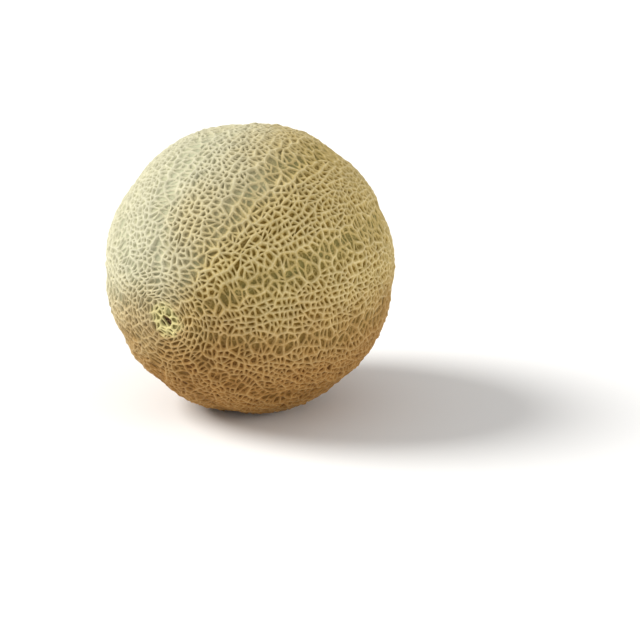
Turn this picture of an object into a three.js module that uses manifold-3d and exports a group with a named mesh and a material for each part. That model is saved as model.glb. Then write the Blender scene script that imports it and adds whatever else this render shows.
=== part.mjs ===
// A netted melon as one grown solid, in millimetres, +Z up, lying on its side on a flat spot at Z = 0.
// It is shaped about its own axis, with the stem end at +Z, and is then laid down as it rests.
import * as THREE from 'three';
import { ConvexHull } from 'three/addons/math/ConvexHull.js';
import { mergeVertices } from 'three/addons/utils/BufferGeometryUtils.js';
import Module from 'manifold-3d';

const { degToRad, lerp, seededRandom, smoothstep } = THREE.MathUtils;

// The flesh body, measured to the skin between the net lines
const BODY_WIDTH = 147;
const BODY_LENGTH = 147.5;
const LOPSIDED_BULGE = 0.5;
const FLAT_SPOT_WIDTH = 34;

// How it lies: the stem end turns from the front (-Y) towards the left (-X) and dips below level
const STEM_HEADING = degToRad(36);
const STEM_DIP = degToRad(7);

// Sutures: shallow grooves from end to end, with ribs between them
const SUTURE_COUNT = 10;
const SUTURE_DEPTH = 1.9;
const GROOVE_SHARPNESS = 2;
const BAND_SHARPNESS = 4;
const FRONT_RIB = degToRad(-9.4);
const FRONT_RIB_SPREAD = degToRad(3.2);

// The corky net: small thick meshes on the ribs, long thin rungs across the sutures
const RIB_MESH = { across: 8.2, along: 9.6 };
const SUTURE_MESH = { across: 14.5, along: 7.4 };
const END_MESH = { across: 10.5, along: 7 };
const END_MESH_FROM = degToRad(14);
const END_MESH_TO = degToRad(30);
const RIDGE_HEIGHT = 1.7;
const RIDGE_HALF_WIDTH = 1.55;
const SUTURE_RIDGE_SHARE = 0.75;
const RIDGE_UNEVENNESS = 0.15;
const WIDEST_RIDGE_SHARE = 0.55;
const SHARPEST_CORNER = 0.45;
const NET_SEED = 41;
const NET_TRIES = 60000;
const EVENING_ROUNDS = 1;

// The two ends: each ring of the scar steps in from the one before it, to a height above the skin
const STEM_END = {
  pole: 1,
  hollowDepth: 2.6,
  hollowSpread: degToRad(17),
  scarRadius: 7,
  scarSides: 9,
  rings: [
    { inset: 2.2, height: -1.0 },
    { inset: 1.7, height: -1.3 },
    { inset: 0.9, height: -3.6 },
  ],
};
const BLOSSOM_END = {
  pole: -1,
  hollowDepth: 1.4,
  hollowSpread: degToRad(13),
  scarRadius: 5,
  scarSides: 8,
  rings: [
    { inset: 1.5, height: -0.4 },
    { inset: 0.8, height: 0.5 },
  ],
};

// 0 in the middle of a rib and 1 in the middle of a suture
function sutureShare(direction, sharpness) {
  const turn = Math.atan2(direction.y, direction.x) - FRONT_RIB;
  const phase = SUTURE_COUNT * (turn - FRONT_RIB_SPREAD * Math.sin(turn));
  return ((1 - Math.cos(phase)) / 2) ** sharpness;
}

// Distance from the fruit's centre to its skin
function skinRadius(direction) {
  const acrossAxis = Math.hypot(direction.x, direction.y);
  const round = 1 / Math.hypot(acrossAxis / (BODY_WIDTH / 2), direction.z / (BODY_LENGTH / 2));
  const bulge = LOPSIDED_BULGE * (direction.x ** 2 - direction.y ** 2 + direction.x * direction.z);
  const groove = SUTURE_DEPTH * sutureShare(direction, GROOVE_SHARPNESS) * acrossAxis;
  let hollow = 0;
  for (const end of [STEM_END, BLOSSOM_END]) {
    const fromPole = Math.atan2(acrossAxis, direction.z * end.pole);
    hollow += end.hollowDepth * Math.exp(-((fromPole / end.hollowSpread) ** 2));
  }
  return round + bulge - groove - hollow;
}

function skinPoint(direction, height) {
  return direction.clone().normalize().multiplyScalar(skinRadius(direction) + height);
}

// Closest distances between mesh centres, round the fruit and along it
function meshSize(direction) {
  const suture = sutureShare(direction, BAND_SHARPNESS);
  const fromEnd = Math.asin(Math.min(1, Math.hypot(direction.x, direction.y)));
  const body = smoothstep(fromEnd, END_MESH_FROM, END_MESH_TO);
  return {
    across: lerp(END_MESH.across, lerp(RIB_MESH.across, SUTURE_MESH.across, suture), body),
    along: lerp(END_MESH.along, lerp(RIB_MESH.along, SUTURE_MESH.along, suture), body),
  };
}

function randomDirection() {
  const z = 2 * seededRandom() - 1;
  const turn = 2 * Math.PI * seededRandom();
  const acrossAxis = Math.sqrt(1 - z * z);
  return new THREE.Vector3(acrossAxis * Math.cos(turn), acrossAxis * Math.sin(turn), z);
}

// The pole and the ring round it whose shared border is the scar's rim
function endCentres(end) {
  const centres = [new THREE.Vector3(0, 0, end.pole)];
  const opening = (2 * end.scarRadius) / (BODY_LENGTH / 2);
  for (let i = 0; i < end.scarSides; i += 1) {
    const turn = (2 * Math.PI * i) / end.scarSides;
    const x = Math.sin(opening) * Math.cos(turn);
    const y = Math.sin(opening) * Math.sin(turn);
    centres.push(new THREE.Vector3(x, y, end.pole * Math.cos(opening)));
  }
  return centres;
}

// Mesh centres thrown at random over the skin, none closer to another than the mesh size there
function meshCentres() {
  const centres = [...endCentres(STEM_END), ...endCentres(BLOSSOM_END)];
  const reach = (BODY_WIDTH + BODY_LENGTH) / 4;
  const axis = new THREE.Vector3(0, 0, 1);
  const step = new THREE.Vector3();
  seededRandom(NET_SEED);
  for (let i = 0; i < NET_TRIES; i += 1) {
    const direction = randomDirection();
    const size = meshSize(direction);
    const round = new THREE.Vector3().crossVectors(axis, direction).normalize();
    const along = new THREE.Vector3().crossVectors(direction, round);
    const isFree = centres.every((other) => {
      step.subVectors(other, direction).multiplyScalar(reach);
      const spacing = Math.hypot(step.dot(round) / size.across, step.dot(along) / size.along);
      return spacing > 1 || other.dot(direction) < 0;
    });
    if (isFree) {
      centres.push(direction);
    }
  }
  return centres;
}

// Where three meshes meet, and for each mesh its corners in order, anticlockwise seen from outside
function joinMeshes(centres) {
  const hull = new ConvexHull().setFromPoints(centres);
  const cornerOf = new Map(hull.faces.map((face, index) => [face, index]));
  const corners = hull.faces.map((face) => face.midpoint.clone().normalize());
  const loops = new Map();
  for (const face of hull.faces) {
    for (const edge of [face.edge, face.edge.next, face.edge.prev]) {
      if (loops.has(edge.head().point)) {
        continue;
      }
      const loop = [];
      let spoke = edge;
      do {
        loop.unshift(cornerOf.get(spoke.face));
        spoke = spoke.next.twin;
      } while (spoke !== edge);
      loops.set(edge.head().point, loop);
    }
  }
  return { corners, loops: centres.map((centre) => loops.get(centre)) };
}

// A loop drawn in by a width, or by less where the mesh is too narrow for that
function drawIn(loop, outward, width) {
  const middle = new THREE.Vector3();
  loop.forEach((point) => middle.addScaledVector(point, 1 / loop.length));
  const inward = loop.map((point, i) => {
    const side = loop[(i + 1) % loop.length].clone().sub(point);
    return new THREE.Vector3().crossVectors(outward, side).normalize();
  });
  const narrowest = Math.min(...loop.map((point, i) => middle.clone().sub(point).dot(inward[i])));
  const reach = Math.min(width, WIDEST_RIDGE_SHARE * narrowest);
  return loop.map((point, i) => {
    const before = inward[(i + loop.length - 1) % loop.length];
    const spread = Math.max(1 + before.dot(inward[i]), SHARPEST_CORNER);
    return point.clone().add(before.clone().add(inward[i]).multiplyScalar(reach / spread));
  });
}

// Meshes of more even size: each centre moves to the middle of its corners, and the two ends stay
function evenMeshes(centres) {
  const fixed = endCentres(STEM_END).length + endCentres(BLOSSOM_END).length;
  const { corners, loops } = joinMeshes(centres);
  return centres.map((centre, index) => {
    if (index < fixed) {
      return centre;
    }
    const middle = new THREE.Vector3();
    loops[index].forEach((corner) => middle.add(corners[corner]));
    return middle.normalize();
  });
}

function nettedSkin() {
  let centres = meshCentres();
  for (let i = 0; i < EVENING_ROUNDS; i += 1) {
    centres = evenMeshes(centres);
  }
  const { corners, loops } = joinMeshes(centres);
  const stemScar = centres[0];
  const blossomScar = centres[endCentres(STEM_END).length];
  const points = corners.map((corner) => {
    const share = lerp(1, SUTURE_RIDGE_SHARE, sutureShare(corner, BAND_SHARPNESS));
    const uneven = 1 + RIDGE_UNEVENNESS * (2 * seededRandom() - 1);
    return skinPoint(corner, RIDGE_HEIGHT * share * uneven);
  });
  const triangles = [];
  centres.forEach((centre, index) => {
    const share = lerp(1, SUTURE_RIDGE_SHARE, sutureShare(centre, BAND_SHARPNESS));
    let rings = [{ inset: RIDGE_HALF_WIDTH * share, height: 0 }];
    if (centre === stemScar) {
      rings = STEM_END.rings;
    } else if (centre === blossomScar) {
      rings = BLOSSOM_END.rings;
    }
    let outer = loops[index];
    for (const ring of rings) {
      const drawn = drawIn(outer.map((corner) => points[corner]), centre, ring.inset);
      const inner = drawn.map((point) => points.push(skinPoint(point.normalize(), ring.height)) - 1);
      outer.forEach((corner, i) => {
        const next = (i + 1) % outer.length;
        triangles.push(corner, outer[next], inner[next], corner, inner[next], inner[i]);
      });
      outer = inner;
    }
    for (let i = 1; i < outer.length - 1; i += 1) {
      triangles.push(outer[0], outer[i], outer[i + 1]);
    }
  });
  const geometry = new THREE.BufferGeometry().setFromPoints(points);
  geometry.setIndex(triangles);
  return geometry;
}

// From the fruit's own axis to how it lies, with the flat spot level at Z = 0
function layDown() {
  const stem = new THREE.Vector3(
    -Math.sin(STEM_HEADING) * Math.cos(STEM_DIP),
    -Math.cos(STEM_HEADING) * Math.cos(STEM_DIP),
    -Math.sin(STEM_DIP),
  );
  const up = new THREE.Vector3(0, 0, 1);
  const side = new THREE.Vector3().crossVectors(stem, up).normalize();
  const top = new THREE.Vector3().crossVectors(side, stem);
  const placement = new THREE.Matrix4().makeBasis(top, side, stem);
  const down = up.clone().negate().applyMatrix4(placement.clone().invert());
  const rise = Math.sqrt(skinRadius(down) ** 2 - (FLAT_SPOT_WIDTH / 2) ** 2);
  return placement.setPosition(0, 0, rise);
}

const wasm = await Module();
wasm.setup();

function toSolid(geometry) {
  const vertProperties = geometry.attributes.position.array;
  const triVerts = Uint32Array.from(geometry.index.array);
  return new wasm.Manifold(new wasm.Mesh({ numProp: 3, vertProperties, triVerts }));
}

function toGeometry(solid) {
  const mesh = solid.getMesh();
  const geometry = new THREE.BufferGeometry();
  geometry.setAttribute('position', new THREE.BufferAttribute(mesh.vertProperties, 3));
  geometry.setIndex(new THREE.BufferAttribute(mesh.triVerts, 1));
  return geometry;
}

// The ground that the fruit has pressed itself flat on
function ground() {
  const size = 2 * BODY_LENGTH;
  const box = new THREE.BoxGeometry(size, size, size);
  box.deleteAttribute('normal');
  box.deleteAttribute('uv');
  return mergeVertices(box.translate(0, 0, -size / 2));
}

const fruit = toSolid(nettedSkin().applyMatrix4(layDown()));
const body = toGeometry(fruit.subtract(toSolid(ground())));
body.computeBoundingBox();
const middle = body.boundingBox.getCenter(new THREE.Vector3());
body.translate(-middle.x, -middle.y, 0);
body.computeVertexNormals();

const rind = new THREE.MeshStandardMaterial({ color: 0xc3b37c, roughness: 0.7, metalness: 0 });
const melon = new THREE.Mesh(body, rind);
melon.name = 'melon';

const part = new THREE.Group();
part.name = 'netted_melon';
part.add(melon);

export default part;
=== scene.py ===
import math

import bmesh
import bpy
import numpy as np
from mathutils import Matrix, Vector, noise


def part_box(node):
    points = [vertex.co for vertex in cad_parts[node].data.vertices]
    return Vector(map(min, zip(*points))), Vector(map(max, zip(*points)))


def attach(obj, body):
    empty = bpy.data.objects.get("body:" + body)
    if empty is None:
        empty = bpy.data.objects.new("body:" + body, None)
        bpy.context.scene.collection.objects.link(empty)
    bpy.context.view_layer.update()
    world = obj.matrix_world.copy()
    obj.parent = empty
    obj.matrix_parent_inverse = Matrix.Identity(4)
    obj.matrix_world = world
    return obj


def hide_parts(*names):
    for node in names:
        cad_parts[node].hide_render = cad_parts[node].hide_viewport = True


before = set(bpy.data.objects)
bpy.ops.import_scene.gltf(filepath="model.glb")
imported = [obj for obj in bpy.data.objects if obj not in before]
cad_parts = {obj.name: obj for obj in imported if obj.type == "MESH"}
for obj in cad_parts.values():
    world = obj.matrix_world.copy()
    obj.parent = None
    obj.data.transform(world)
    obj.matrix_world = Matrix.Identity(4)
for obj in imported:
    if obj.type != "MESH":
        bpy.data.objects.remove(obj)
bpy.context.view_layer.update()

# The melon: one round fruit with shallow sutures from its stem end to its blossom end.
# As it grew, its thin green-tan skin split, and cork healed the splits into a raised net.
# It lies on its side, on the flat spot that it pressed into itself on the ground.
mm = 0.001
skin_width = 148.2 * mm
skin_length = 148.6 * mm
mean_radius = (skin_width + skin_length) / 4
lopsided_bulge = 0.5 * mm
flat_spot_width = 34 * mm

suture_count = 10
suture_depth = 0.8 * mm
groove_sharpness = 2
band_sharpness = 3
band_least, band_usual = 0.35, 0.85
band_swing, band_patches = 0.6, 7
front_rib = math.radians(-9.4)
front_rib_spread = math.radians(3.2)

stem_hollow_depth, stem_hollow_spread = 2.6 * mm, math.radians(17)
blossom_hollow_depth, blossom_hollow_spread = 1.4 * mm, math.radians(13)


def suture_share(directions, sharpness):
    """0 in the middle of a rib and 1 in the middle of a suture."""
    turn = np.arctan2(directions[:, 1], directions[:, 0]) - front_rib
    phase = suture_count * (turn - front_rib_spread * np.sin(turn))
    return ((1 - np.cos(phase)) / 2) ** sharpness


def open_band(way):
    """The same for the open bands of the net, which are uneven along their length."""
    share = suture_share(np.array(way)[None, :], band_sharpness)[0]
    uneven = band_usual + band_swing * noise.noise(Vector(way) * band_patches)
    return share * min(1, max(band_least, uneven))


def skin_radius(directions):
    """Distance from the fruit's centre to its skin. The stem end is at +Z of the fruit."""
    x, y, z = directions.T
    off_axis = np.hypot(x, y)
    round_body = 1 / np.hypot(off_axis / (skin_width / 2), z / (skin_length / 2))
    bulge = lopsided_bulge * (x**2 - y**2 + x * z)
    groove = suture_depth * suture_share(directions, groove_sharpness) * off_axis
    from_stem = np.arctan2(off_axis, z) / stem_hollow_spread
    from_blossom = np.arctan2(off_axis, -z) / blossom_hollow_spread
    stem_hollow = stem_hollow_depth * np.exp(-(from_stem**2))
    blossom_hollow = blossom_hollow_depth * np.exp(-(from_blossom**2))
    return round_body + bulge - groove - stem_hollow - blossom_hollow


# How it lies: the stem end turns from the front to the left and dips a little below level.
stem_heading = math.radians(36)
stem_dip = math.radians(7)
stem_way = Vector((-math.sin(stem_heading), -math.cos(stem_heading), -math.tan(stem_dip))).normalized()
side_way = stem_way.cross(Vector((0, 0, 1))).normalized()
top_way = side_way.cross(stem_way)
lie = np.array((top_way, side_way, stem_way))
down = lie @ (0, 0, -1)
cad_low, cad_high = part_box("melon")
rise = math.sqrt(skin_radius(down[None, :])[0] ** 2 - (flat_spot_width / 2) ** 2)
middle = Vector(((cad_low.x + cad_high.x) / 2, (cad_low.y + cad_high.y) / 2, cad_low.z + rise))

# The skin split in stages, so the net is cut in stages too. Its first meshes are wide: a line of them
# down each suture, a ring of them round each end and more of them thrown at random on the ribs.
along_share = 0.5
first_spacing = 12.5 * mm
suture_step = 13 * mm
suture_step_range, suture_sway = (0.7, 1.3), 0.02
suture_start, suture_stop = 29 * mm, 24 * mm
scar_meshes, scar_mesh_radius = 9, 6.8 * mm
button_meshes, button_mesh_radius = 8, 6.2 * mm
end_turn_sway, end_radius_range = 0.4, (0.82, 1.18)
settling_rounds = 5
throws = 4000
chance = np.random.default_rng(41)


def on_fruit(turn, from_stem):
    """The way from the fruit's centre at a turn round it and an angle from its stem end."""
    outward = math.sin(from_stem)
    return (outward * math.cos(turn), outward * math.sin(turn), math.cos(from_stem))


first_ways = [on_fruit(0, 0), on_fruit(0, math.pi)]
for count, radius, pole in (
    (scar_meshes, scar_mesh_radius, 0),
    (button_meshes, button_mesh_radius, math.pi),
):
    for number in range(count):
        turn = (number + chance.uniform(-end_turn_sway, end_turn_sway)) * math.tau / count
        away = radius * chance.uniform(*end_radius_range) / mean_radius
        first_ways.append(on_fruit(turn, abs(pole - away)))
for number in range(suture_count):
    even_turn = (number + 0.5) * math.tau / suture_count
    turn = even_turn
    # The ribs differ in width, so the middle of a suture is found in a few steps.
    for _ in range(settling_rounds):
        turn = even_turn + front_rib_spread * math.sin(turn)
    from_stem = suture_start / mean_radius
    while from_stem < math.pi - suture_stop / mean_radius:
        sway = chance.uniform(-suture_sway, suture_sway)
        first_ways.append(on_fruit(front_rib + turn + sway, from_stem))
        from_stem += suture_step / mean_radius * chance.uniform(*suture_step_range)

# The fruit is squashed along its axis for this, which draws the first meshes out along the ribs.
squashed = np.array(first_ways) * (1, 1, along_share)
squashed = list(squashed / np.linalg.norm(squashed, axis=1, keepdims=True))
for thrown in chance.normal(size=(throws, 3)):
    thrown /= np.linalg.norm(thrown)
    if np.linalg.norm(np.array(squashed) - thrown, axis=1).min() > first_spacing / mean_radius:
        squashed.append(thrown)

# The hull of the mesh centres links neighbours. Its poked faces give the corners where net lines
# meet, its split edges give the middles of the lines, and dissolving the centres leaves the meshes.
net = bmesh.new()
line_rank = net.edges.layers.int.new("line_rank")
is_centre = net.verts.layers.int.new("is_centre")
lift = net.verts.layers.float.new("lift")
net_share = net.verts.layers.float.new("net")
suture_band = net.verts.layers.float.new("suture")
for way in squashed:
    net.verts.new(way)[is_centre] = 1
bmesh.ops.convex_hull(net, input=net.verts)
links = net.edges[:]
for vert in bmesh.ops.poke(net, faces=net.faces[:])["verts"]:
    vert[is_centre] = 0
halved = bmesh.ops.subdivide_edges(net, edges=links, cuts=1, use_single_edge=True)
for item in halved["geom_inner"]:
    if isinstance(item, bmesh.types.BMVert):
        item[is_centre] = 0
bmesh.ops.dissolve_verts(net, verts=[vert for vert in net.verts if vert[is_centre]])
for vert in net.verts:
    vert.co.z /= along_share
    vert.co.normalize()
bmesh.ops.recalc_face_normals(net, faces=net.faces)

# Round both ends the skin also split in close rings, which waver and are broken in places.
FIRST, STRAND, BRIDGE = 0, 1, 2
ring_step = 2.5 * mm
stem_rings_from, stem_rings_to = 10.2 * mm, 26 * mm
blossom_rings_from, blossom_rings_to = 9.5 * mm, 19 * mm
whole_share = 0.9
ring_snap = 0.5 * mm / mean_radius
waver, waver_patches = 1.3 * mm / mean_radius, 9
for ring_from, ring_to, end in (
    (stem_rings_from, stem_rings_to, 1),
    (blossom_rings_from, blossom_rings_to, -1),
):
    for radius in np.arange(ring_from, ring_to, ring_step):
        away = radius / mean_radius
        split_faces = [face for face in net.faces if chance.random() < whole_share]
        split_parts = dict.fromkeys(
            part for face in split_faces for part in (face, *face.edges, *face.verts)
        )
        ring = bmesh.ops.bisect_plane(
            net,
            geom=list(split_parts),
            dist=ring_snap * math.sin(away),
            plane_co=(0, 0, end * math.cos(away)),
            plane_no=(0, 0, 1),
        )
        for item in ring["geom_cut"]:
            if isinstance(item, bmesh.types.BMEdge):
                item[line_rank] = STRAND
    for vert in net.verts:
        vert.co.normalize()
        if vert.co.z * end > math.cos(ring_to / mean_radius):
            outward = Vector((vert.co.x, vert.co.y, 0)).normalized()
            vert.co = (vert.co + outward * waver * noise.noise(vert.co * waver_patches)).normalized()

# Then long lines split the meshes into strands, and short bridges split the strands into holes.
# Each pair is a usual size round the fruit and along it: on the ribs, in the sutures, at the ends.
tries = 12
strand_sizes = ((5.2 * mm, 14 * mm), (10 * mm, 6.5 * mm), (12 * mm, 4.0 * mm))
hole_sizes = ((3.33 * mm, 3.05 * mm), (6.2 * mm, 3.6 * mm), (3.8 * mm, 2.6 * mm))
end_from, end_to = 21 * mm / mean_radius, 32 * mm / mean_radius
whole_at_stem, whole_at_blossom = 6.4 * mm / mean_radius, 5 * mm / mean_radius
longest_hole, smallest_hole = 2.0, 0.6
wander = 0.07
crowding = 0.25
shortest_line = 0.85 * mm / mean_radius
size_range = (0.65, 1.4)

# For each rank of line: the usual sizes, the largest area left whole, how far a cut leans and strays
# from the middle, and how round both halves have to be for a cut to be taken at once.
split_rules = (
    (STRAND, strand_sizes, 1.2, 0.25, 0.15, 0.66),
    (BRIDGE, hole_sizes, 1.5, 0.45, 0.3, 0.62),
)


def usual_sizes(way, rib, suture, end):
    """The two sizes that are usual there, from those on a rib, in a suture and at an end."""
    band = open_band(way)
    from_end = math.asin(min(1, math.hypot(way[0], way[1])))
    body = min(1, max(0, (from_end - end_from) / (end_to - end_from)))
    return np.array([e + (r + (s - r) * band - e) * body for r, s, e in zip(rib, suture, end)])


def middle_of(corners):
    """The middle of the lines round a mesh."""
    after = np.roll(corners, -1, axis=0)
    return np.average((corners + after) / 2, axis=0, weights=np.linalg.norm(after - corners, axis=1))


def laid_flat(corners):
    """Where a mesh is, and its corners' places round the fruit and along it from there."""
    way = middle_of(corners)
    way /= np.linalg.norm(way)
    round_way = np.cross((0, 0, 1), way)
    round_way /= np.linalg.norm(round_way)
    ways = np.array((round_way, np.cross(way, round_way)))
    return way, (corners - way) @ ways.T * mean_radius


def turned(plan):
    """Twice the area between each line of a mesh and the point that its plan is measured from."""
    after = np.roll(plan, -1, axis=0)
    return plan[:, 0] * after[:, 1] - plan[:, 1] * after[:, 0]


def roundness(plan):
    """1 for a circle, less for a shape that is longer or thinner."""
    around = np.linalg.norm(np.roll(plan, -1, axis=0) - plan, axis=1).sum()
    return 2 * math.pi * abs(turned(plan).sum()) / around**2


def corners_of(face):
    """The places of a mesh's corners, in order round it."""
    return [vert.co for vert in face.verts]


def is_open(corners):
    """Whether a mesh is seen whole from its middle, with none of its lines folded over."""
    lines = list(zip(corners, corners[1:] + corners[:1]))
    weights = [(end - start).length for start, end in lines]
    middles = ((start + end) * weight for (start, end), weight in zip(lines, weights))
    middle_way = sum(middles, Vector()) / (2 * sum(weights))
    return all((start - middle_way).cross(end - middle_way).dot(middle_way) > 0 for start, end in lines)


def move(vert, place):
    """Moves a vertex over the round fruit, unless that folds a mesh beside it."""
    start, vert.co = vert.co.normalized(), place.normalized()
    if not all(is_open(corners_of(face)) for face in vert.link_faces):
        vert.co = start


def stray(vert, length):
    """Moves a vertex a little off the straight line."""
    move(vert, vert.co + Vector(chance.normal(size=3)) * wander * length)


def cut_ends(plan, corners, over):
    """Where a cut meets a mesh: each line, the share along it (none at a corner) and the place."""
    ends = []
    for i in range(len(plan)):
        if (over[i - 1] < 0) == (over[i] < 0):
            continue
        share = over[i - 1] / (over[i - 1] - over[i])
        length = corners[i - 1][1].calc_length()
        if share * length < shortest_line:
            ends.append((i - 1, None, plan[i - 1]))
        elif (1 - share) * length < shortest_line:
            ends.append((i, None, plan[i]))
        else:
            ends.append((i - 1, share, plan[i - 1] + share * (plan[i] - plan[i - 1])))
    return ends


def halves_of(plan, ends):
    """The two meshes that a cut leaves."""
    halves = []
    for (start, _, start_at), (stop, stop_share, stop_at) in (ends, ends[::-1]):
        count = (stop - start) % len(plan) + (stop_share is not None)
        inner = [plan[(start + step) % len(plan)] for step in range(1, count)]
        halves.append(np.array([start_at, *inner, stop_at]))
    return halves


def best_cut(plan, corners, lean, off_middle, roundest):
    """The ends of the cut that leaves the roundest halves, of some that cross a mesh's length."""
    after = np.roll(plan, -1, axis=0)
    weight = np.linalg.norm(after - plan, axis=1)
    centroid = middle_of(plan)
    x, y = ((plan + after) / 2 - centroid).T
    length_turn = math.atan2(2 * np.sum(weight * x * y), np.sum(weight * (x * x - y * y))) / 2
    best, best_ends = -math.inf, []
    for _ in range(tries):
        turn = length_turn + lean * chance.normal()
        reach = (plan - centroid) @ (math.cos(turn), math.sin(turn))
        ends = cut_ends(plan, corners, reach - off_middle * reach.std() * chance.normal())
        if len(ends) != 2:
            continue
        halves = halves_of(plan, ends)
        if min(len(half) for half in halves) < 3:
            continue
        worst = min(roundness(half) for half in halves)
        met = [corners[i][0] for i, share, _ in ends if share is None]
        worst -= crowding * sum(len(vert.link_edges) > 3 for vert in met)
        if worst > best:
            best, best_ends = worst, ends
        if worst > roundest:
            break
    return best_ends


def split(face):
    """Cuts a mesh across its length and returns the halves, or nothing if it is small enough."""
    way, flat = laid_flat(np.array(corners_of(face)))
    if math.acos(min(1, way[2])) < whole_at_stem or math.acos(min(1, -way[2])) < whole_at_blossom:
        return []
    for rank, sizes, largest, *cut_rule in split_rules:
        plan = flat / usual_sizes(way, *sizes)
        area = abs(turned(plan).sum()) / 2
        slit = rank == BRIDGE and area > smallest_hole and np.ptp(plan, axis=0).max() > longest_hole
        if area > largest * chance.uniform(*size_range) or slit:
            break
    else:
        return []
    corners = [(loop.vert, loop.edge) for loop in face.loops]
    joined = []
    for i, share, _ in best_cut(plan, corners, *cut_rule):
        vert, edge = corners[i]
        if share is not None:
            length = edge.calc_length()
            made, vert = bmesh.utils.edge_split(edge, vert, share)
            made[line_rank] = edge[line_rank]
            stray(vert, length)
        joined.append(vert)
    if not joined:
        return []
    half, loop = bmesh.utils.face_split(face, *joined)
    loop.edge[line_rank] = rank
    return [face, half]


waiting = net.faces[:]
while waiting:
    waiting.extend(split(waiting.pop()))


def joined_roundness(line):
    """How round the two meshes beside a line would be as one, or 0 if that would be folded."""
    corners = []
    for loop in line.link_loops:
        step = loop.link_loop_next
        while step is not loop:
            corners.append(step.vert.co)
            step = step.link_loop_next
    return roundness(laid_flat(np.array(corners))[1]) if is_open(corners) else 0


# The thinnest slits don't stay: each one opens into the mesh beside it that it makes the roundest.
thinnest_hole, heal_rounds = 0.45, 2
for _ in range(heal_rounds):
    healed, changed = [], set()
    for face in net.faces:
        if roundness(laid_flat(np.array(corners_of(face)))[1]) < thinnest_hole:
            line = max(face.edges, key=joined_roundness)
            if joined_roundness(line) > thinnest_hole and changed.isdisjoint(line.link_faces):
                healed.append(line)
                changed.update(line.link_faces)
    bmesh.ops.dissolve_edges(net, edges=healed, use_verts=False)

# A mesh that is folded over is drawn straight by the lines round it.
unfold_rounds, unfold_share = 4, 0.5
for _ in range(unfold_rounds):
    folded = [face for face in net.faces if not is_open(corners_of(face))]
    for vert in dict.fromkeys(vert for face in folded for vert in face.verts):
        beside = [edge.other_vert(vert).co for edge in vert.link_edges]
        vert.co = vert.co.lerp(sum(beside, Vector()) / len(beside), unfold_share).normalized()

# The stem tore off and left two pits with a strand between them. The blossom left a corky button.
stem_face = min(net.faces, key=lambda face: (face.calc_center_median() - Vector((0, 0, 1))).length)
button = min(net.faces, key=lambda face: (face.calc_center_median() - Vector((0, 0, -1))).length)
two_fifths_round = stem_face.verts[len(stem_face.verts) * 2 // 5]
half, loop = bmesh.utils.face_split(stem_face, stem_face.verts[0], two_fifths_round)
loop.edge[line_rank] = BRIDGE
pits = [stem_face, half]

# Long lines bend once more between their ends, and then each line is pulled a little by the others.
longest_straight = 3.5 * mm / mean_radius
pull_rounds, pull_share = 2, 0.25
pulls = {FIRST: 2, STRAND: 2, BRIDGE: 1}
for edge in net.edges[:]:
    length = edge.calc_length()
    if length > longest_straight:
        made, vert = bmesh.utils.edge_split(edge, edge.verts[0], 0.5)
        made[line_rank] = edge[line_rank]
        stray(vert, length)
for _ in range(pull_rounds):
    pulled = {}
    for vert in net.verts:
        pull = [(pulls[edge[line_rank]], edge.other_vert(vert).co) for edge in vert.link_edges]
        whole_pull = sum(share for share, _ in pull)
        towards = sum((share * place for share, place in pull), Vector()) / whole_pull
        pulled[vert] = vert.co.lerp(towards, pull_share).normalized()
    for vert, place in pulled.items():
        move(vert, place)

# Line sizes: half width and height, on the ribs, in the sutures and at the ends. The net is closer on
# one side of the fruit, uneven all over, and low and thin where a bridge is broken.
line_sizes = {
    FIRST: ((1.5 * mm, 1.2 * mm), (0.9 * mm, 0.75 * mm), (0.85 * mm, 1.05 * mm)),
    STRAND: ((1.45 * mm, 1.2 * mm), (0.8 * mm, 0.68 * mm), (0.9 * mm, 1.15 * mm)),
    BRIDGE: ((0.95 * mm, 0.95 * mm), (0.6 * mm, 0.52 * mm), (0.65 * mm, 0.8 * mm)),
}
close_way, closeness = Vector(lie @ (0.95, -0.1, 0.2)).normalized(), 0.28
unevenness = 0.22
patch_unevenness, uneven_patches = 0.25, 11
lumpiness, lumps = 0.55, 33
stem_pole, scar_reach = Vector((0, 0, 1)), 4.2 * mm / mean_radius
scar_width, scar_height = 0.55, 0.45
broken_on_rib, broken_in_suture = 0.05, 0.3
broken_height, broken_width = 0.3, 0.6
half_width = {}
height = dict.fromkeys(net.verts, 0)
for edge in net.edges:
    way = (edge.verts[0].co + edge.verts[1].co).normalized()
    wide, high = usual_sizes(way, *line_sizes[edge[line_rank]])
    uneven = 1 + unevenness * chance.uniform(-1, 1)
    uneven += patch_unevenness * noise.noise(way * uneven_patches)
    half_width[edge] = wide * uneven * (1 + closeness * max(0, way.dot(close_way))) / mean_radius
    if way.angle(stem_pole) < scar_reach:
        half_width[edge] *= scar_width
        high *= scar_height
    for vert in edge.verts:
        lump = 1 + lumpiness * noise.noise(vert.co * lumps)
        height[vert] = max(height[vert], high * uneven * lump)
for vert in net.verts:
    lines = vert.link_edges[:]
    if len(lines) == 2 and lines[0][line_rank] == BRIDGE:
        band = open_band(vert.co)
        if chance.random() < broken_on_rib + (broken_in_suture - broken_on_rib) * band:
            height[vert] *= broken_height
            for edge in lines:
                half_width[edge] *= broken_width

# Two rings inside each mesh give every line a rounded shoulder and a foot on the skin.
shoulder_at, shoulder_height, shoulder_share = 0.52, 0.78, 0.68
lowest_share = 0.5
hole_rounding = 0.5
widest_share = 0.72
least_room = 0.05 * mm / mean_radius
furthest_share = 0.8
corner_slack, width_slack = 1.12, 1.15
shrink, shrink_tries = 0.6, 6
first_inset = shortest_line / 9
floor_unevenness = 0.07 * mm
highest = line_sizes[STRAND][0][1]
pit_depth, button_height = 0.9 * mm, 0.3 * mm


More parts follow.
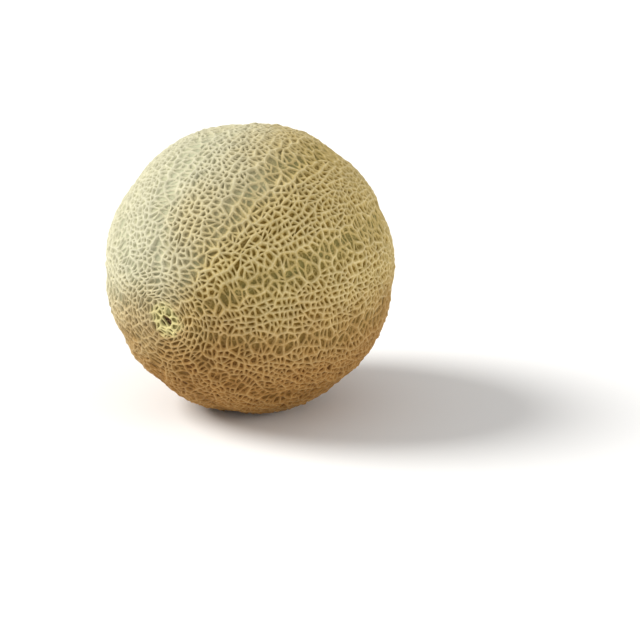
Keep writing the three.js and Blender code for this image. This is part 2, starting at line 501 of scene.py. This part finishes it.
def feet(corners, widths):
    """The corners of a mesh, moved in by the lines' half widths, or by less if they would cross."""
    along = np.roll(corners, -1, axis=0) - corners
    middle_way = middle_of(corners)
    inward = np.cross(middle_way / np.linalg.norm(middle_way), along)
    inward /= np.linalg.norm(inward, axis=1, keepdims=True)
    room = np.maximum(least_room, np.sum((middle_way - corners) * inward, axis=1))
    widths = np.minimum(widths, widest_share * room)
    before, width_before = np.roll(inward, 1, axis=0), np.roll(widths, 1)
    bend = np.sum(before * inward, axis=1)
    alike = (width_before + widths) / 2 / (corner_slack + bend)
    unlike = (width_before - widths) / 2 / (width_slack - bend)
    step = alike[:, None] * (before + inward) + unlike[:, None] * (before - inward)
    furthest = furthest_share * np.linalg.norm(middle_way - corners, axis=1)
    step *= np.minimum(1, furthest / np.linalg.norm(step, axis=1))[:, None]
    step_share = 1.0
    for _ in range(shrink_tries):
        foot = corners + step_share * step
        between = (np.roll(foot, 1, axis=0) + np.roll(foot, -1, axis=0)) / 2
        foot += step_share * hole_rounding * (between - foot)
        if is_open([Vector(place) for place in foot]):
            break
        step_share *= shrink
    return foot


def ring_pairs(mesh):
    """Each vertex of a mesh's inner ring with the one outside it."""
    pairs = []
    for loop in mesh.loops:
        spoke = next(edge for edge in loop.vert.link_edges if mesh not in edge.link_faces)
        pairs.append((loop.vert, spoke.other_vert(loop.vert)))
    return pairs


meshes = net.faces[:]
foot_at = {}
for mesh in meshes:
    corners = np.array([loop.vert.co for loop in mesh.loops])
    places = feet(corners, np.array([half_width[loop.edge] for loop in mesh.loops]))
    foot_at[mesh] = {loop.vert: Vector(place) for loop, place in zip(mesh.loops, places)}
for vert in net.verts:
    vert[lift] = height[vert]
    vert[net_share] = min(1, lowest_share + (1 - lowest_share) * height[vert] / highest)
bmesh.ops.inset_individual(net, faces=meshes, thickness=first_inset)
foot_of = {}
for mesh in meshes:
    floor = floor_unevenness * chance.uniform(-1, 1)
    if mesh in pits:
        floor = -pit_depth
    if mesh is button:
        floor = button_height
    for inner, outer in ring_pairs(mesh):
        foot_of[inner] = (foot_at[mesh][outer], floor)
        inner.co = outer.co.lerp(foot_at[mesh][outer], shoulder_at)
        inner[lift] = shoulder_height * outer[lift]
        inner[net_share] = shoulder_share * outer[net_share]
bmesh.ops.inset_individual(net, faces=meshes, thickness=first_inset)
for mesh in meshes:
    for inner, outer in ring_pairs(mesh):
        inner.co, inner[lift] = foot_of[outer]
        inner[net_share] = 0

# The pits end in torn fibres, where the net's share goes below 0. The button is a little domed, in
# rings that are each given by a step inward in millimetres, a height and a share of cork.
pit_rim, pit_range = 0.5 * mm / mean_radius, (1.1, 1.7)
torn_rim, torn_ring, torn_tip = -0.6, -1, -0.5
for face in pits:
    bmesh.ops.inset_individual(net, faces=[face], thickness=pit_rim)
    for inner, outer in ring_pairs(face):
        inner[lift] = -pit_depth * chance.uniform(*pit_range)
        inner[net_share] = torn_ring
        outer[net_share] = torn_rim
    tip = bmesh.ops.poke(net, faces=[face])["verts"][0]
    tip[lift] = -pit_depth / 2
    tip[net_share] = torn_tip
button_height_range, button_share_range = (0.75, 1.25), (0.8, 1.2)
button_rings = ((0.5, 2.2, 0.7), (0.45, 1.3, 0.5), (0.5, 1.7, 0.65), (0.4, 1.2, 0.55))
for step, high, share in button_rings:
    bmesh.ops.inset_individual(net, faces=[button], thickness=step * mm / mean_radius)
    for inner, _ in ring_pairs(button):
        inner[lift] = button_height * high * chance.uniform(*button_height_range)
        inner[net_share] = share * chance.uniform(*button_share_range)

# The fruit takes its size and lie, and what would reach below the ground is pressed flat.
directions = np.array([vert.co.normalized() for vert in net.verts])
lifts = np.array([vert[lift] for vert in net.verts])
places = directions * (skin_radius(directions) + lifts)[:, None] @ lie + np.array(middle)
places[:, 2] = np.maximum(places[:, 2], cad_low.z)
for vert, place, way in zip(net.verts, places, directions):
    vert.co = place
    vert[suture_band] = open_band(way)

rind_mesh = bpy.data.meshes.new("melon_netted_rind")
net.to_mesh(rind_mesh)
net.free()
rind_mesh.shade_smooth()
melon = bpy.data.objects.new("melon_netted_rind", rind_mesh)
bpy.context.collection.objects.link(melon)


class Socket:
    """A shader socket that arithmetic can be done on. Each step adds a Math node."""

    def __init__(self, tree, socket=None):
        self.tree = tree
        self.socket = socket

    def node(self, kind, settings, sockets, output=0):
        """A node of this kind, with its settings made first and then its sockets set or linked."""
        made = self.tree.nodes.new(kind)
        for name, value in settings.items():
            setattr(made, name, value)
        for name, value in sockets.items():
            if isinstance(value, Socket):
                self.tree.links.new(value.socket, made.inputs[name])
            else:
                made.inputs[name].default_value = value
        return Socket(self.tree, made.outputs[output])

    def math(self, operation, first, second):
        """A Math node of two values or sockets."""
        return self.node("ShaderNodeMath", {"operation": operation}, {0: first, 1: second})

    def __add__(self, other):
        return self.math("ADD", self, other)

    def __sub__(self, other):
        return self.math("SUBTRACT", self, other)

    def __rsub__(self, other):
        return self.math("SUBTRACT", other, self)

    def __mul__(self, other):
        return self.math("MULTIPLY", self, other)

    __radd__ = __add__
    __rmul__ = __mul__

    def between(self, low, high):
        """0 at low, 1 at high and smooth between."""
        sockets = {"Value": self, "From Min": low, "From Max": high}
        return self.node("ShaderNodeMapRange", {"interpolation_type": "SMOOTHSTEP"}, sockets)

    def mix(self, first, second):
        """From the first colour to the second as this goes from 0 to 1."""
        settings = {"data_type": "RGBA"}
        return self.node("ShaderNodeMix", settings, {0: self, 6: first, 7: second}, 2)


rind = bpy.data.materials.new("corky_net_on_skin")
rind.use_nodes = True
shader = rind.node_tree.nodes["Principled BSDF"]
bench = Socket(rind.node_tree)
where = bench.node("ShaderNodeTexCoord", {}, {}, "Object")


def patchy(per_metre, detail=3, output=0):
    """Soft noise round 0.5, with about this many patches to a metre."""
    sockets = {"Vector": where, "Scale": per_metre, "Detail": detail}
    return bench.node("ShaderNodeTexNoise", {}, sockets, output)


def attribute(name):
    """A value that the mesh holds at its vertices."""
    return bench.node("ShaderNodeAttribute", {"attribute_name": name}, {}, "Fac")


stem_place, blossom_place = (
    tuple(middle + Vector(np.array((0, 0, end)) @ lie) * skin_radius(np.array([(0, 0, end)]))[0])
    for end in (1.0, -1.0)
)


def from_place(place):
    """Distance from a place on the fruit, in millimetres."""
    apart = bench.node("ShaderNodeVectorMath", {"operation": "DISTANCE"}, {0: where, 1: place}, "Value")
    return apart * (1 / mm)


# Cork and skin are pale and greenish on the side towards the key light and tan on the other side:
# partly their own colour, partly painted light and painted shade. Below they are browner and darker:
# painted shade and painted orange reflected light. Blotches blur that. The skin is greyer green in the
# sutures.
net_pale = (0.585, 0.56, 0.40, 1)
net_tan = (0.63, 0.515, 0.262, 1)
net_shaded_below = (0.44, 0.26, 0.093, 1)
# The sides of the net lines: the cork painted darker, as painted shade on the rounded lines.
shaded_side_pale = (0.53, 0.505, 0.345, 1)
shaded_side_tan = (0.46, 0.345, 0.125, 1)
shaded_side_below = (0.32, 0.162, 0.044, 1)
skin_pale = (0.455, 0.445, 0.285, 1)
skin_tan = (0.21, 0.126, 0.015, 1)
skin_shaded_below = (0.125, 0.047, 0.005, 1)
suture_pale = (0.455, 0.46, 0.305, 1)
suture_tan = (0.185, 0.162, 0.048, 1)
suture_shaded_below = (0.18, 0.09, 0.014, 1)
lit_pale_way = Vector((-0.8, 0.15, 0.58)).normalized()
offset = {0: where, 1: tuple(middle)}
from_middle = bench.node("ShaderNodeVectorMath", {"operation": "SUBTRACT"}, offset)
facing = {0: from_middle, 1: tuple(lit_pale_way)}
leaning = bench.node("ShaderNodeVectorMath", {"operation": "DOT_PRODUCT"}, facing, "Value")
height_here = bench.node("ShaderNodeSeparateXYZ", {}, {0: where}, "Z")
tan_between, tan_blotches = (0.85, 0.02), 0.8
shaded_below_between, shaded_below_blotches, shaded_below_tanning = (1.3, 0.38), 0.5, 0.35
# tan: 0 on the side painted lit as if by the key light, 1 on the tan side, whose skin is darker as
# painted shade in the holes.
tan = (leaning * (1 / mean_radius) + (patchy(28) - 0.5) * tan_blotches).between(*tan_between)
# low: browner and darker towards the bottom, as painted shade and painted orange reflected light. It
# also tans.
low = (height_here * (1 / mean_radius) + (patchy(40) - 0.5) * shaded_below_blotches).between(*shaded_below_between)
tan = 1 - (1 - tan) * (1 - low * shaded_below_tanning)
low = low * tan
in_suture = attribute("suture")
raised = attribute("net")
cork_between, cork_fray = (0.06, 0.38), 0.9
# Towards its crest a line is painted lighter, a painted highlight, over the painted shade of its sides.
crest_highlight_between, crest_highlight_fray = (0.62, 1.0), 0.5
cork = (raised + (patchy(900) - 0.5) * cork_fray).between(*cork_between)
crest_highlight = (raised + (patchy(700, 2) - 0.5) * crest_highlight_fray).between(*crest_highlight_between)
net_colour = low.mix(tan.mix(net_pale, net_tan), net_shaded_below)
shaded_side_colour = low.mix(tan.mix(shaded_side_pale, shaded_side_tan), shaded_side_below)
net_colour = crest_highlight.mix(shaded_side_colour, net_colour)
rib_colour = low.mix(tan.mix(skin_pale, skin_tan), skin_shaded_below)
suture_colour = low.mix(tan.mix(suture_pale, suture_tan), suture_shaded_below)
skin_colour = in_suture.mix(rib_colour, suture_colour)

# Hair-fine healed cracks cross the bare skin, mostly in the sutures.
hair_scale, hair_share, hair_stir = 430, 0.7, 2.5 * mm
hair_between, hair_patch_between = (0.14, 0.03), (0.38, 0.54)
hairs_on_ribs = 0.4
stir = {0: patchy(300, 2, "Color"), 1: (hair_stir,) * 3, 2: where}
stirred = bench.node("ShaderNodeVectorMath", {"operation": "MULTIPLY_ADD"}, stir)
cells = {"Vector": stirred, "Scale": hair_scale}
from_crack = bench.node("ShaderNodeTexVoronoi", {"feature": "DISTANCE_TO_EDGE"}, cells)
hairs = from_crack.between(*hair_between) * patchy(210, 2).between(*hair_patch_between)
hairs = hairs * (in_suture * (1 - hairs_on_ribs) + hairs_on_ribs)
skin_colour = (hairs * hair_share).mix(skin_colour, shaded_side_colour)

# Round the stem scar the net is fresh and yellow, and its pits are torn and dark.
yellow = (0.72, 0.645, 0.30, 1)
olive_dark, olive_pale = (0.17, 0.15, 0.035, 1), (0.42, 0.40, 0.17, 1)
torn_dark, torn_pale = (0.045, 0.018, 0.006, 1), (0.30, 0.19, 0.08, 1)
fresh_between, fresh_fray = (11.5, 5.5), 9
fresh_net_share, fresh_skin_share = 0.85, 0.8
olive_between, fibre_between, torn_between = (0.4, 0.6), (0.35, 0.7), (-0.15, -0.55)
fresh = (from_place(stem_place) + (patchy(260) - 0.5) * fresh_fray).between(*fresh_between)
net_colour = (fresh * fresh_net_share).mix(net_colour, yellow)
olive = patchy(190, 2).between(*olive_between).mix(olive_dark, olive_pale)
skin_colour = (fresh * fresh_skin_share).mix(skin_colour, olive)
colour = cork.mix(skin_colour, net_colour)
fibres = patchy(900).between(*fibre_between).mix(torn_dark, torn_pale)
colour = raised.between(*torn_between).mix(colour, fibres)

# The button at the blossom end is browner than the net, with a frayed edge.
button_tan, button_brown = (0.50, 0.37, 0.18, 1), (0.20, 0.11, 0.04, 1)
scarred_between, scarred_fray = (3.6, 2.6), 2
button_between, button_fray = (0.2, 0.9), 1.6
scarred = (from_place(blossom_place) + (patchy(500) - 0.5) * scarred_fray).between(*scarred_between)
corky = (raised + (patchy(700) - 0.5) * button_fray).between(*button_between)
colour = scarred.mix(colour, corky.mix(button_brown, button_tan))

# Fine grain shows on the cork, and the whole rind is a little patchy.
least_shade, shade_swing = 0.75, 0.5
cork_grain, hair_grain = 3, 2
skin_roughness, cork_roughness, patch_roughness = 0.5, 0.2, 0.2
grain_depth, grain_strength = 0.15 * mm, 0.5
patches = patchy(170)
shade = patches * shade_swing + least_shade
colour = bench.node("ShaderNodeVectorMath", {"operation": "SCALE"}, {0: colour, "Scale": shade})
grain = patchy(2600, 2) + patchy(900) * cork * cork_grain + hairs * hair_grain
rough = cork * cork_roughness + skin_roughness + (patches - 0.5) * patch_roughness
grained = {"Height": grain, "Strength": grain_strength, "Distance": grain_depth}
bump = bench.node("ShaderNodeBump", {}, grained)
bench.tree.links.new(colour.socket, shader.inputs["Base Color"])
bench.tree.links.new(rough.socket, shader.inputs["Roughness"])
bench.tree.links.new(bump.socket, shader.inputs["Normal"])
shader.inputs["Specular IOR Level"].default_value = 0.12
rind_mesh.materials.append(rind)

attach(melon, "root")
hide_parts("melon")

# The studio: a plain pale floor in a white room, with a soft light from the upper left and a weaker
# one from the right. The room's own light is dimmer than it looks, so that shadows keep their depth.
floor_size, floor_gap, floor_grey = 60.0, 0.2 * mm, 0.9
floor_mesh = bpy.data.meshes.new("floor")
sheet = bmesh.new()
bmesh.ops.create_grid(sheet, x_segments=1, y_segments=1, size=floor_size / 2)
bmesh.ops.translate(sheet, verts=sheet.verts, vec=(0, 0, -floor_gap))
sheet.to_mesh(floor_mesh)
sheet.free()
floor = bpy.data.objects.new("floor", floor_mesh)
bpy.context.collection.objects.link(floor)
paper = bpy.data.materials.new("pale_floor")
paper.use_nodes = True
paper_shader = paper.node_tree.nodes["Principled BSDF"]
paper_shader.inputs["Base Color"].default_value = (floor_grey, floor_grey, floor_grey, 1)
paper_shader.inputs["Roughness"].default_value = 0.9
floor_mesh.materials.append(paper)

room_light, room_look = 0.53, 1.0
room = bpy.data.worlds.new("white_room")
room.use_nodes = True
walls = Socket(room.node_tree)
seen = walls.node("ShaderNodeLightPath", {}, {}, "Is Camera Ray")
strength = seen * (room_look - room_light) + room_light
background = room.node_tree.nodes["Background"]
background.inputs["Color"].default_value = (1, 1, 1, 1)
room.node_tree.links.new(strength.socket, background.inputs["Strength"])
bpy.context.scene.world = room


softbox_width = math.radians(31)


def soft_light(name, way, strength, colour):
    """A light from far off in a direction, as wide as a large softbox looks."""
    lamp = bpy.data.lights.new(name, "SUN")
    lamp.angle = softbox_width
    lamp.energy = strength
    lamp.color = colour
    light = bpy.data.objects.new(name, lamp)
    light.rotation_euler = (-way).to_track_quat("-Z", "Y").to_euler()
    bpy.context.collection.objects.link(light)


soft_light("key", Vector((-1.75, 0.28, 1.51)), 3.5, (1.0, 0.99, 0.96))
soft_light("fill", Vector((1.75, -0.6, 0.53)), 1.06, (1.0, 0.97, 0.92))

bpy.context.scene.view_settings.view_transform = "Standard"

# The camera looks from the front and a little down, as in the photograph.
photo_size = 640
melon_at = Vector((251, 267.5))
melon_pixels = 143
camera_distance = 1.1
camera_elevation = math.radians(17)
outer_radius = (cad_high.x - cad_low.x) / 2
focal_pixels = melon_pixels / math.tan(math.asin(outer_radius / camera_distance))
lens = bpy.data.cameras.new("camera")
lens.sensor_width = 36
lens.lens = lens.sensor_width * focal_pixels / photo_size
camera = bpy.data.objects.new("camera", lens)
bpy.context.collection.objects.link(camera)
into = Vector((0, math.cos(camera_elevation), -math.sin(camera_elevation)))
upward = Vector((0, math.sin(camera_elevation), math.cos(camera_elevation)))
off = Vector((photo_size / 2, photo_size / 2)) - melon_at
aim = into * focal_pixels + Vector((1, 0, 0)) * off.x - upward * off.y
camera.location = middle - into * camera_distance
camera.rotation_euler = aim.to_track_quat("-Z", "Y").to_euler()
bpy.context.scene.camera = camera
